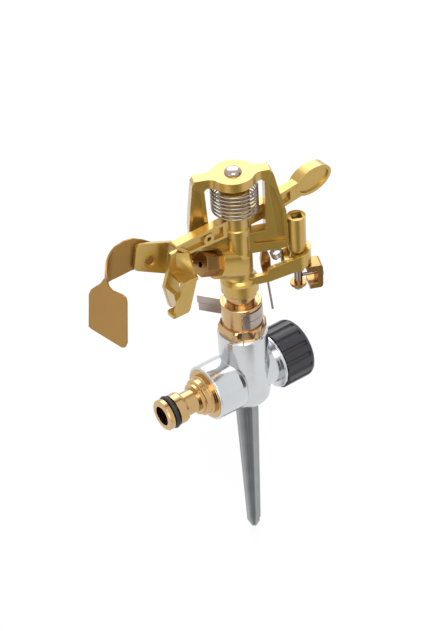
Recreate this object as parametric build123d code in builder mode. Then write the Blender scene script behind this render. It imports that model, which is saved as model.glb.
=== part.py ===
"""Impulse sprinkler on a ground spike, with a two-outlet tee, a bridge body and a hammer arm.

Millimetres, +Z up.  The origin is on the head's upright axis where the spike leaves the tee.
X runs along the water line: the hose tail points to -X and the capped outlet to +X.
"""

from math import cos, pi, radians, sin
import os

from build123d import *

os.makedirs("parts", exist_ok=True)

# Clearances
RUN = 0.06
REST = 0.2

# Tee and spike
WATER_Z = 16.0
BARREL_R, BARREL_BOTTOM, BARREL_TOP = 12.35, 1.2, 44.5
INLET_R, INLET_END = 14.2, -24.2
SPOUT_R, SPOUT_END = 11.0, 14.5
STUB_R, STUB_END = 13.0, 27.0
WATERWAY_R = 8.0
SPIKE_LENGTH = 90.0
FIN_TOP_R, FIN_TIP_R, FIN_T = 6.3, 3.5, 2.4
SPIKE_SHANK_R, SPIKE_SOCKET = 5.0, 6.6

# Hose tail
TAIL_NOSE = -50.0
TAIL_R, TAIL_WAIST_R, TAIL_BORE_R = 8.0, 6.0, 5.0
TAIL_SHANK_R, TAIL_SHANK_END = 10.0, -12.0
TAIL_FLANGE_R, TAIL_FLANGE_SEAT = 12.9, -22.2
O_RING_X, O_RING_R, O_RING_SECTION = -45.5, 7.25, 1.25
INLET_WASHER_T = 1.5

# Outlet cap
CAP_R, CAP_START, CAP_END = 15.4, 16.1, 33.0
CAP_FLOOR = 29.4
CAP_GROOVES, CAP_GROOVE_R = 16, 1.35
CAP_WASHER_T = 2.3

# Bearing
HEX_AF, HEX_TOP = 23.6, 50.0
SLEEVE_R, SLEEVE_TOP = 9.75, 62.6
SLEEVE_SHANK_R, SLEEVE_SHANK_END = 9.4, 28.5
SPRING_WELL_R, SPRING_WELL_FLOOR = 8.9, 47.0
TUBE_R, TUBE_BORE_R = 7.0, 5.0
TUBE_FLANGE_R, TUBE_FLANGE_T = 8.6, 2.0
TUBE_RING_R = 8.0
BEARING_WASHER_T = 2.5

# Friction collars
COLLAR_GAP, COLLAR_T, COLLAR_H = 0.1, 0.6, 4.4
COLLAR_Z = (51.4, 56.0)
COLLAR_TAB_ANGLE = 125.0
COLLAR_TAB_R = (21.9, 22.5)

# Head
SKIRT_R, SKIRT_BOTTOM, SKIRT_TOP = 9.2, 68.9, 77.0
THROAT_R, NECK_R, NECK_TOP = 7.0, 6.1, 102.3
NOZZLE_TILT, NOZZLE_CROSS_Z = 22.0, 85.2
PORT_R, PORT_END = 7.5, 14.3
NOZZLE_AF, NOZZLE_END, NOZZLE_ORIFICE_R = 11.0, 23.0, 1.9
NOZZLE_SPIGOT_R, NOZZLE_SPIGOT = 4.0, 6.0

# Bridge
BRIDGE_ANGLE = -23.6
BRIDGE_HALF, WEB_HALF = 3.0, 1.0
BOSS_R, BOSS_T, BOSS_PROUD, BAR_T = 10.0, 5.2, 0.5, 4.0
POST_R, POST_H, POST_ROOM = 5.0, 3.5, 12.1
PIN_R, PIN_HEAD_R, PIN_HEAD_H, PIN_GRIP = 2.5, 4.2, 1.8, 10.3

# Trip
TRIP_U = 28.6
TRIP_TUBE_R, TRIP_TUBE_Z = 4.45, (87.6, 105.8)
TRIP_SQUARE = 5.0
TRIP_SHAFT_R, TRIP_SHAFT_Z = 2.0, (61.6, 103.0)
GUARD_R, GUARD_T = 6.5, 2.2
GUARD_FLOOR_Z = (79.6, 82.0)
SHACKLE_PIN_Z, SHACKLE_PIN_R = 71.0, 1.0
PAWL_U, LEVER_Z = 13.0, 74.8
TRIP_SPRING_U, TRIP_SPRING_Z, TRIP_SPRING_R = 18.6, 85.9, 2.6
WIRE_R = 0.55

# Hammer arm
ARM_WASHER_R, ARM_WASHER_T, ARM_PLAY = 6.0, 0.35, 0.05
HUB_FLANGE_R, HUB_FLANGE_H, HUB_R, HUB_H = 7.0, 4.2, 6.5, 12.2
BEAM_HALF = 2.4
BUSH_R = 3.5
SPRING_R, SPRING_WIRE_R, SPRING_TURNS = 10.7, 0.62, 8
SPRING_FOOT, SPRING_HEAD = 1.1, 0.8
DRILL_X, DRILL_Z = -16.9, 107.4
PADDLE_X, PADDLE_Z, PADDLE_LEAN = 43.8, 112.9, 10.0

# Heights of the bridge, worked up from the neck: arm washer, hub, room above it, post, boss
ARM_Z = NECK_TOP + ARM_WASHER_T + ARM_PLAY
HUB_FLANGE_TOP = ARM_Z + HUB_FLANGE_H
HUB_TOP = ARM_Z + HUB_H
POST_BOTTOM = HUB_TOP + POST_ROOM
BOSS_BOTTOM = POST_BOTTOM + POST_H
BOSS_TOP = BOSS_BOTTOM + BOSS_T
BAR_TOP = BOSS_TOP - BOSS_PROUD
BAR_BOTTOM = BAR_TOP - BAR_T
PIN_BOTTOM = NECK_TOP - PIN_GRIP
SPRING_Z = (HUB_TOP + SPRING_FOOT, BOSS_BOTTOM - SPRING_HEAD)

# Deflector flap
TAB_Y, TAB_T = 6.0, 1.8
SCREW_X, SCREW_Z, SCREW_R = -44.3, 103.4, 2.0
FLAP_TILT, FLAP_T, FLAP_BEND_R = 10.0, 0.8, 8.5

WATER_AXIS = Axis((0, 0, WATER_Z), (1, 0, 0))
BRIDGE_U = (cos(radians(BRIDGE_ANGLE)), sin(radians(BRIDGE_ANGLE)), 0)
BRIDGE_N = (sin(radians(BRIDGE_ANGLE)), -cos(radians(BRIDGE_ANGLE)), 0)
BRIDGE = Plane(origin=(0, 0, 0), x_dir=BRIDGE_U, z_dir=BRIDGE_N)
BRIDGE_TOP = Plane(origin=(0, 0, 0), x_dir=BRIDGE_U, z_dir=(0, 0, 1))
BRIDGE_ALONG = Plane(origin=(0, 0, 0), x_dir=(-BRIDGE_N[0], -BRIDGE_N[1], 0), z_dir=BRIDGE_U)
TRIP_XY = (TRIP_U * BRIDGE_U[0], TRIP_U * BRIDGE_U[1])
NOZZLE_DIR = (-cos(radians(NOZZLE_TILT)), 0, sin(radians(NOZZLE_TILT)))
NOZZLE = Plane(origin=(0, 0, NOZZLE_CROSS_Z), x_dir=(0, 1, 0), z_dir=NOZZLE_DIR)
TAB_BACK = TAB_Y + TAB_T
FLAP = Plane(
    origin=(SCREW_X, TAB_BACK + REST, SCREW_Z),
    x_dir=(cos(radians(FLAP_TILT)), 0, -sin(radians(FLAP_TILT))),
    z_dir=(sin(radians(FLAP_TILT)), 0, cos(radians(FLAP_TILT))),
)


def ring(outer, inner, bottom, top, centre=(0, 0)):
    """A plain tube, standing on the XY plane moved up to bottom."""
    with BuildSketch(Plane.XY.offset(bottom)) as section:
        with Locations(centre):
            Circle(outer)
            Circle(inner, mode=Mode.SUBTRACT)
    extrude(section.sketch, amount=top - bottom)


def about_water(*points):
    """Turn an (x, radius) outline about the water line."""
    with BuildSketch(Plane.XZ) as section:
        Polygon(*[(x, WATER_Z + r) for x, r in points])
    revolve(section.sketch.faces(), axis=WATER_AXIS)


def water_bore(radius, start, end):
    """Bore a round hole along the water line."""
    with BuildSketch(Plane.YZ.offset(start)) as section:
        with Locations((0, WATER_Z)):
            Circle(radius)
    extrude(section.sketch, amount=end - start, mode=Mode.SUBTRACT)


def about_upright(*points, mode=Mode.ADD):
    """Turn a (radius, z) outline about the head's upright axis."""
    with BuildSketch(Plane.XZ) as section:
        Polygon(*points)
    revolve(section.sketch.faces(), axis=Axis.Z, mode=mode)


# Base

with BuildPart() as ground_spike:
    for height, reach in ((0.0, FIN_TOP_R), (5.0 - SPIKE_LENGTH, FIN_TIP_R)):
        with BuildSketch(Plane.XY.offset(height)):
            Rectangle(2 * reach, FIN_T)
            Rectangle(FIN_T, 2 * reach)
    loft(ruled=True)
    for height, reach, t in ((5.0 - SPIKE_LENGTH, FIN_TIP_R, FIN_T), (-SPIKE_LENGTH, 1.4, 1.0)):
        with BuildSketch(Plane.XY.offset(height)):
            Rectangle(2 * reach, t)
            Rectangle(t, 2 * reach)
    loft(ruled=True)
    with BuildSketch(Plane.XY):
        Rectangle(2 * FIN_TOP_R, FIN_T)
        Rectangle(FIN_T, 2 * FIN_TOP_R)
    extrude(amount=BARREL_BOTTOM)
    with BuildSketch(Plane.XY):
        Circle(SPIKE_SHANK_R)
    extrude(amount=SPIKE_SOCKET)
ground_spike.part.label = "ground_spike"

with BuildPart() as tee_body:
    about_water(
        (INLET_END, 0), (INLET_END, INLET_R - 0.6), (INLET_END + 0.6, INLET_R), (-10.5, INLET_R),
        (-8.4, INLET_R - 0.5), (-7.0, INLET_R - 1.8), (-6.5, SPOUT_R), (SPOUT_END, SPOUT_R),
        (SPOUT_END, 14.0), (SPOUT_END + 0.4, 14.4), (15.8, 14.4), (15.8, STUB_R),
        (STUB_END - 0.8, STUB_R), (STUB_END, STUB_R - 0.8), (STUB_END, 0),
    )
    about_upright(
        (0, BARREL_BOTTOM), (BARREL_R - 4.2, BARREL_BOTTOM), (BARREL_R - 1.6, BARREL_BOTTOM + 1.2),
        (BARREL_R - 0.4, BARREL_BOTTOM + 3.0), (BARREL_R, BARREL_BOTTOM + 5.5),
        (BARREL_R, BARREL_TOP - 0.7), (BARREL_R - 0.7, BARREL_TOP), (0, BARREL_TOP),
    )
    washer_seat = TAIL_SHANK_END + INLET_WASHER_T
    water_bore(WATERWAY_R, washer_seat, STUB_END)
    water_bore(TAIL_SHANK_R, TAIL_FLANGE_SEAT, washer_seat)
    water_bore(TAIL_FLANGE_R, INLET_END, TAIL_FLANGE_SEAT)
    about_upright(
        (0, WATER_Z), (SLEEVE_SHANK_R - 0.4, WATER_Z), (SLEEVE_SHANK_R - 0.4, SLEEVE_SHANK_END),
        (SLEEVE_SHANK_R, SLEEVE_SHANK_END), (SLEEVE_SHANK_R, BARREL_TOP), (0, BARREL_TOP),
        mode=Mode.SUBTRACT,
    )
    with BuildSketch(Plane.XY):
        Circle(SPIKE_SHANK_R)
    extrude(amount=SPIKE_SOCKET, mode=Mode.SUBTRACT)
tee_body.part.label = "tee_body"

with BuildPart() as inlet_connector:
    about_water(
        (TAIL_NOSE, TAIL_BORE_R), (TAIL_NOSE, TAIL_R - 0.6), (TAIL_NOSE + 0.6, TAIL_R),
        (-47.4, TAIL_R), (-47.4, O_RING_R - O_RING_SECTION), (-43.7, O_RING_R - O_RING_SECTION),
        (-43.7, TAIL_R - 0.1), (-39.8, TAIL_R - 0.1), (-38.6, TAIL_R - 0.6), (-37.9, TAIL_WAIST_R),
        (-31.0, TAIL_WAIST_R), (-31.0, TAIL_R), (-29.5, TAIL_R), (-29.0, 9.4), (-26.6, 9.4),
        (-26.1, 10.4), (-24.6, 10.4), (-24.6, TAIL_FLANGE_R - 0.3), (-24.3, TAIL_FLANGE_R),
        (TAIL_FLANGE_SEAT, TAIL_FLANGE_R), (TAIL_FLANGE_SEAT, TAIL_SHANK_R),
        (TAIL_SHANK_END, TAIL_SHANK_R), (TAIL_SHANK_END, TAIL_BORE_R),
    )
inlet_connector.part.label = "inlet_connector"

with BuildPart() as inlet_o_ring:
    with BuildSketch(Plane.XZ):
        with Locations((O_RING_X, WATER_Z + O_RING_R)):
            Circle(O_RING_SECTION)
    revolve(axis=WATER_AXIS)
inlet_o_ring.part.label = "inlet_o_ring"

with BuildPart() as inlet_washer:
    about_water(
        (TAIL_SHANK_END, TAIL_BORE_R), (TAIL_SHANK_END, TAIL_SHANK_R),
        (TAIL_SHANK_END + INLET_WASHER_T, TAIL_SHANK_R),
        (TAIL_SHANK_END + INLET_WASHER_T, TAIL_BORE_R),
    )
inlet_washer.part.label = "inlet_washer"

with BuildPart() as outlet_cap:
    cap_bore = STUB_R + RUN
    about_water(
        (CAP_START, cap_bore), (CAP_START, CAP_R - 0.3), (CAP_START + 0.3, CAP_R),
        (CAP_END - 2.6, CAP_R), (CAP_END - 1.2, CAP_R - 0.5), (CAP_END - 0.3, CAP_R - 1.6),
        (CAP_END, CAP_R - 3.0), (CAP_END, 0), (CAP_FLOOR, 0), (CAP_FLOOR, cap_bore),
    )
    with BuildSketch(Plane.YZ.offset(CAP_START)):
        with Locations((0, WATER_Z)):
            with PolarLocations(CAP_R + 0.35, CAP_GROOVES):
                Circle(CAP_GROOVE_R)
    extrude(amount=CAP_END - 2.6 - CAP_START, mode=Mode.SUBTRACT)
outlet_cap.part.label = "outlet_cap"

with BuildPart() as cap_washer:
    about_water(
        (CAP_FLOOR - CAP_WASHER_T, 5.0), (CAP_FLOOR - CAP_WASHER_T, STUB_R - 0.4),
        (CAP_FLOOR, STUB_R - 0.4), (CAP_FLOOR, 5.0),
    )
cap_washer.part.label = "cap_washer"

# Bearing

with BuildPart() as bearing_sleeve:
    with BuildSketch(Plane.XY.offset(BARREL_TOP)):
        RegularPolygon(HEX_AF / 2, 6, major_radius=False)
    extrude(amount=HEX_TOP - BARREL_TOP)
    corner_r = HEX_AF / 2 / cos(pi / 6)
    about_upright(
        (0, BARREL_TOP), (corner_r - 0.7, BARREL_TOP), (corner_r, BARREL_TOP + 0.5),
        (corner_r, HEX_TOP - 1.0), (corner_r - 1.6, HEX_TOP), (0, HEX_TOP),
        mode=Mode.INTERSECT,
    )
    about_upright(
        (0, SLEEVE_SHANK_END), (SLEEVE_SHANK_R, SLEEVE_SHANK_END), (SLEEVE_SHANK_R, BARREL_TOP),
        (SLEEVE_R, BARREL_TOP), (SLEEVE_R, SLEEVE_TOP - 1.7), (SLEEVE_R + 0.4, SLEEVE_TOP - 1.4),
        (SLEEVE_R + 0.4, SLEEVE_TOP - 0.4), (SLEEVE_R, SLEEVE_TOP), (0, SLEEVE_TOP),
    )
    about_upright(
        (0, SLEEVE_SHANK_END), (TUBE_R + RUN, SLEEVE_SHANK_END), (TUBE_R + RUN, SPRING_WELL_FLOOR),
        (SPRING_WELL_R, SPRING_WELL_FLOOR), (SPRING_WELL_R, SLEEVE_TOP), (0, SLEEVE_TOP),
        mode=Mode.SUBTRACT,
    )
bearing_sleeve.part.label = "bearing_sleeve"


def friction_collar(bottom, tab_r):
    """One strip collar: an open hoop whose two ends turn outwards as tabs."""
    inner = SLEEVE_R + COLLAR_GAP
    far = 2 * inner
    edge = radians(COLLAR_TAB_ANGLE)
    with BuildSketch(Plane.XY.offset(bottom)) as section:
        Circle(inner + COLLAR_T)
        Circle(inner, mode=Mode.SUBTRACT)
        Polygon(
            (0, 0), (far * cos(edge), far * sin(edge)), (-2 * far, far), (-2 * far, -far),
            (far * cos(edge), -far * sin(edge)), mode=Mode.SUBTRACT,
        )
        for side in (-1, 1):
            with Locations(Rot(0, 0, side * COLLAR_TAB_ANGLE)):
                with Locations(((inner + tab_r) / 2, -side * COLLAR_T / 2)):
                    Rectangle(tab_r - inner, COLLAR_T)
    extrude(section.sketch, amount=COLLAR_H)


with BuildPart() as friction_collar_lower:
    friction_collar(COLLAR_Z[0], COLLAR_TAB_R[0])
friction_collar_lower.part.label = "friction_collar_lower"

with BuildPart() as friction_collar_upper:
    friction_collar(COLLAR_Z[1], COLLAR_TAB_R[1])
friction_collar_upper.part.label = "friction_collar_upper"

tube_flange_top = SLEEVE_SHANK_END - BEARING_WASHER_T

with BuildPart() as swivel_tube:
    about_upright(
        (TUBE_BORE_R, tube_flange_top - TUBE_FLANGE_T),
        (TUBE_FLANGE_R, tube_flange_top - TUBE_FLANGE_T), (TUBE_FLANGE_R, tube_flange_top),
        (TUBE_R, tube_flange_top), (TUBE_R, SLEEVE_TOP - 1.7),
        (SPRING_WELL_R - REST, SLEEVE_TOP - 1.7), (SPRING_WELL_R - REST, SLEEVE_TOP - 0.1),
        (TUBE_R, SLEEVE_TOP - 0.1), (TUBE_R, SKIRT_BOTTOM - 2.9),
        (TUBE_RING_R - 0.4, SKIRT_BOTTOM - 2.9), (TUBE_RING_R, SKIRT_BOTTOM - 2.5),
        (TUBE_RING_R, SKIRT_BOTTOM), (TUBE_R, SKIRT_BOTTOM), (TUBE_R, SKIRT_TOP - 1.0),
        (TUBE_BORE_R, SKIRT_TOP - 1.0),
    )
swivel_tube.part.label = "swivel_tube"

with BuildPart() as bearing_washers:
    third = BEARING_WASHER_T / 3
    for count, radius in enumerate((TUBE_FLANGE_R, TUBE_FLANGE_R - 0.3, TUBE_FLANGE_R)):
        ring(radius, TUBE_R, tube_flange_top + count * third, tube_flange_top + (count + 1) * third)
    with BuildSketch(Plane.XY.offset(SLEEVE_SHANK_END - RUN)):
        Circle(TUBE_FLANGE_R)
    extrude(amount=RUN, mode=Mode.SUBTRACT)
bearing_washers.part.label = "bearing_washers"


def coil(radius, wire_r, pitch, height, centre, direction, section_at, section_normal):
    """A round wire swept along a helix."""
    with BuildLine() as path:
        Helix(pitch=pitch, height=height, radius=radius, center=centre, direction=direction)
    with BuildSketch(Plane(origin=section_at, z_dir=section_normal)) as section:
        Circle(wire_r)
    sweep(section.sketch, path=path.line, is_frenet=True)


well_mid_r = (SPRING_WELL_R + TUBE_R) / 2
with BuildPart() as bearing_spring:
    lift = SLEEVE_TOP - 1.7 - SPRING_WELL_FLOOR - 2.0
    coil(
        well_mid_r, 0.6, lift / 4, lift, (0, 0, SPRING_WELL_FLOOR + 1.0), (0, 0, 1),
        (well_mid_r, 0, SPRING_WELL_FLOOR + 1.0), (0, 1, 0),
    )
bearing_spring.part.label = "bearing_spring"

# Head

# Guard: a sloping band that leaves the skirt and wraps round the foot of the trip tube
with BuildPart() as trip_guard:
    inner_r = GUARD_R - GUARD_T
    with BuildSketch(BRIDGE_TOP.offset(66)):
        with Locations((TRIP_U, 0)):
            Circle(GUARD_R)
        with Locations((TRIP_U / 2 + 1.5, 0)):
            Rectangle(TRIP_U - 3, 2 * GUARD_R)
        with Locations((TRIP_U, 0)):
            Circle(inner_r, mode=Mode.SUBTRACT)
        with Locations((TRIP_U / 2 + 1.5, 0)):
            Rectangle(TRIP_U - 3, 2 * inner_r, mode=Mode.SUBTRACT)
        with Locations((TRIP_U - 7.0, 0)):
            Rectangle(2 * TRIP_U, 2 * GUARD_R, align=(Align.MAX, Align.MIN), mode=Mode.SUBTRACT)
    extrude(amount=30)
    with BuildSketch(BRIDGE):
        Polygon(
            (2.0, 74.4), (13.6, 75.0), (28.0, 78.3), (35.6, 80.1), (35.6, 88.0), (22.7, 84.6),
            (13.7, 82.3), (12.8, 81.4), (12.6, 79.7), (2.0, 78.6),
        )
    extrude(amount=2 * GUARD_R, both=True, mode=Mode.INTERSECT)
    ring(GUARD_R - 0.1, TRIP_SHAFT_R + RUN, GUARD_FLOOR_Z[0], GUARD_FLOOR_Z[1], TRIP_XY)

with BuildPart() as sprinkler_body:
    about_upright(
        (0, SKIRT_BOTTOM), (SKIRT_R - 0.6, SKIRT_BOTTOM), (SKIRT_R, SKIRT_BOTTOM + 0.8),
        (SKIRT_R, SKIRT_TOP - 1.5), (SKIRT_R - 0.8, SKIRT_TOP - 0.2), (THROAT_R + 0.3, SKIRT_TOP + 0.8),
        (THROAT_R, SKIRT_TOP + 2.0), (THROAT_R, 91.0), (NECK_R, 92.6), (NECK_R, NECK_TOP),
        (0, NECK_TOP),
    )
    with BuildSketch(NOZZLE):
        Circle(PORT_R + 0.9)
    with BuildSketch(NOZZLE.offset(PORT_END)):
        Circle(PORT_R)
    loft()
    # Bridge frame
    with BuildSketch(BRIDGE):
        Polygon(
            (-22.4, 95.0), (-22.5, 110.0), (-21.3, BAR_TOP - 14.3), (-19.6, BAR_TOP - 1.6),
            (-18.3, BAR_TOP), (15.6, BAR_TOP), (17.4, BAR_TOP - 0.8), (18.3, BAR_TOP - 2.6),
            (20.0, BAR_TOP - 10.2), (23.4, 111.5),
            (23.9, 97.0), (23.4, 90.7), (4.0, 90.7), (-4.0, 92.0), (-17.0, 93.0),
        )
    extrude(amount=BRIDGE_HALF, both=True)
    with BuildSketch(BRIDGE):
        Polygon(
            (-13.4, NECK_TOP), (-13.4, 111.5), (-14.2, BAR_BOTTOM - 1.4), (-12.8, BAR_BOTTOM),
            (12.4, BAR_BOTTOM), (13.8, BAR_BOTTOM - 1.4), (13.7, 117.0), (13.2, NECK_TOP),
        )
    extrude(amount=2 * BRIDGE_HALF, both=True, mode=Mode.SUBTRACT)
    for side in (-1, 1):
        with BuildSketch(BRIDGE.offset(side * BRIDGE_HALF)):
            Polygon((15.6, BAR_TOP - 7.0), (18.9, 97.4), (7.0, 98.0), (7.0, 96.0), (22.3, 94.6),
                    (22.3, 97.0), (21.8, 111.2), (18.5, BAR_TOP - 10.8))
            Polygon((-18.6, BAR_TOP - 3.8), (-16.0, BAR_TOP - 6.2), (-15.2, 112.0),
                    (-15.2, 98.6), (-20.8, 97.8), (-20.9, 110.0), (-19.8, BAR_TOP - 14.2))
        extrude(amount=-side * (BRIDGE_HALF - WEB_HALF), mode=Mode.SUBTRACT)
    about_upright(
        (0, BOSS_BOTTOM), (BOSS_R - 0.5, BOSS_BOTTOM), (BOSS_R, BOSS_BOTTOM + 0.5),
        (BOSS_R, BOSS_TOP - 0.9), (BOSS_R - 0.9, BOSS_TOP), (0, BOSS_TOP),
    )
    with BuildSketch(Plane.XY.offset(POST_BOTTOM)):
        Circle(POST_R)
    extrude(amount=BOSS_BOTTOM - POST_BOTTOM)
    # Trip tube, its neck and the web that ties it to the bridge
    with BuildSketch(Plane.XY.offset(TRIP_TUBE_Z[0])):
        with Locations(TRIP_XY):
            Circle(TRIP_TUBE_R)
    extrude(amount=TRIP_TUBE_Z[1] - TRIP_TUBE_Z[0])
    with BuildSketch(Plane.XY.offset(GUARD_FLOOR_Z[1])):
        with Locations(TRIP_XY):
            Circle(TRIP_TUBE_R - 0.2)
    with BuildSketch(Plane.XY.offset(85.0)):
        with Locations(TRIP_XY):
            Circle(TRIP_TUBE_R - 0.9)
    with BuildSketch(Plane.XY.offset(TRIP_TUBE_Z[0])):
        with Locations(TRIP_XY):
            Circle(TRIP_TUBE_R)
    loft(ruled=True)
    with BuildSketch(BRIDGE):
        Polygon((22.5, 90.7), (26.0, 89.4), (26.0, 101.5), (22.5, 103.5))
    extrude(amount=1.5, both=True)
    add(trip_guard.part)
    # Tab that carries the deflector flap
    with BuildSketch(Plane.XZ.offset(-TAB_Y)):
        Polygon(
            (-16.5, 92.6), (-16.5, 102.0), (-21.5, 103.4), (-33.2, 108.6), (-48.2, 114.9),
            (-50.2, 114.6), (-51.0, 113.4), (-53.0, 103.8), (-52.6, 102.2), (-51.0, 100.9),
            (-36.8, 92.6), (-24.0, 91.4),
        )
    extrude(amount=-TAB_T)
    # Waterways and holes
    about_upright(
        (0, SKIRT_BOTTOM), (TUBE_R, SKIRT_BOTTOM), (TUBE_R, SKIRT_TOP - 1.0),
        (TUBE_BORE_R, SKIRT_TOP - 1.0), (TUBE_BORE_R, 86.0), (TUBE_BORE_R - 2.0, 89.5), (0, 89.5),
        mode=Mode.SUBTRACT,
    )
    with BuildSketch(NOZZLE):
        Circle(NOZZLE_SPIGOT_R - 0.6)
    extrude(amount=PORT_END, mode=Mode.SUBTRACT)
    with BuildSketch(NOZZLE.offset(PORT_END)):
        Circle(NOZZLE_SPIGOT_R)
    extrude(amount=-NOZZLE_SPIGOT, mode=Mode.SUBTRACT)
    with BuildSketch(NOZZLE.offset(PORT_END)):
        Circle(NOZZLE_AF / 2 + 1.5)
    extrude(amount=NOZZLE_END, mode=Mode.SUBTRACT)
    with BuildSketch(Plane.XY.offset(PIN_BOTTOM)):
        Circle(PIN_R)
    extrude(amount=BOSS_TOP - PIN_BOTTOM, mode=Mode.SUBTRACT)
    with BuildSketch(Plane.XZ.offset(-TAB_Y)):
        with Locations((SCREW_X, SCREW_Z)):
            Circle(SCREW_R)
    extrude(amount=-TAB_T, mode=Mode.SUBTRACT)
    with BuildSketch(Plane.XZ.offset(-TAB_Y)):
        with Locations((SCREW_X, SCREW_Z)):
            Circle(SCREW_R + 1.1)
    extrude(amount=-0.7, mode=Mode.SUBTRACT)
    with BuildSketch(Plane.XY.offset(GUARD_FLOOR_Z[0] - 1)):
        with Locations(TRIP_XY):
            Circle(TRIP_SHAFT_R + RUN)
    extrude(amount=TRIP_TUBE_Z[1] - GUARD_FLOOR_Z[0] + 1, mode=Mode.SUBTRACT)
    with BuildSketch(Plane.XY.offset(TRIP_TUBE_Z[0] + 0.6)):
        with Locations(Location((*TRIP_XY, 0), (0, 0, BRIDGE_ANGLE))):
            Rectangle(TRIP_SQUARE, TRIP_SQUARE)
    extrude(amount=TRIP_TUBE_Z[1] - TRIP_TUBE_Z[0], mode=Mode.SUBTRACT)
sprinkler_body.part.label = "sprinkler_body"

with BuildPart() as nozzle:
    with BuildSketch(NOZZLE.offset(PORT_END)):
        RegularPolygon(NOZZLE_AF / 2, 6, major_radius=False)
    extrude(amount=NOZZLE_END - PORT_END)
    nozzle_corner = NOZZLE_AF / 2 / cos(pi / 6)
    with BuildSketch(NOZZLE.offset(PORT_END)):
        Circle(nozzle_corner)
    with BuildSketch(NOZZLE.offset(NOZZLE_END - 0.8)):
        Circle(nozzle_corner)
    loft(ruled=True, mode=Mode.INTERSECT)
    with BuildSketch(NOZZLE.offset(NOZZLE_END - 0.8)):
        Circle(NOZZLE_AF / 2)
    with BuildSketch(NOZZLE.offset(NOZZLE_END)):
        Circle(NOZZLE_AF / 2 - 0.7)
    loft(ruled=True)
    with BuildSketch(NOZZLE.offset(PORT_END - NOZZLE_SPIGOT)):
        Circle(NOZZLE_SPIGOT_R)
    extrude(amount=NOZZLE_SPIGOT)
    with BuildSketch(NOZZLE.offset(PORT_END - NOZZLE_SPIGOT)):
        Circle(NOZZLE_SPIGOT_R - 0.6)
    with BuildSketch(NOZZLE.offset(NOZZLE_END - 2.0)):
        Circle(NOZZLE_ORIFICE_R)
    loft(ruled=True, mode=Mode.SUBTRACT)
    with BuildSketch(NOZZLE.offset(NOZZLE_END - 2.0)):
        Circle(NOZZLE_ORIFICE_R)
    extrude(amount=2.0, mode=Mode.SUBTRACT)
nozzle.part.label = "nozzle"

with BuildPart() as fulcrum_pin:
    with BuildSketch(Plane.XY.offset(PIN_BOTTOM)):
        Circle(PIN_R)
    extrude(amount=BOSS_TOP - PIN_BOTTOM)
    about_upright(
        (0, BOSS_TOP), (PIN_HEAD_R, BOSS_TOP), (PIN_HEAD_R, BOSS_TOP + 0.4),
        (PIN_HEAD_R - 0.4, BOSS_TOP + 0.9), (PIN_HEAD_R - 1.3, BOSS_TOP + 1.4),
        (1.4, BOSS_TOP + PIN_HEAD_H - 0.1), (0, BOSS_TOP + PIN_HEAD_H),
    )
fulcrum_pin.part.label = "fulcrum_pin"

# Hammer arm, drawn at rest with its drive vane in front of the nozzle

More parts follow.
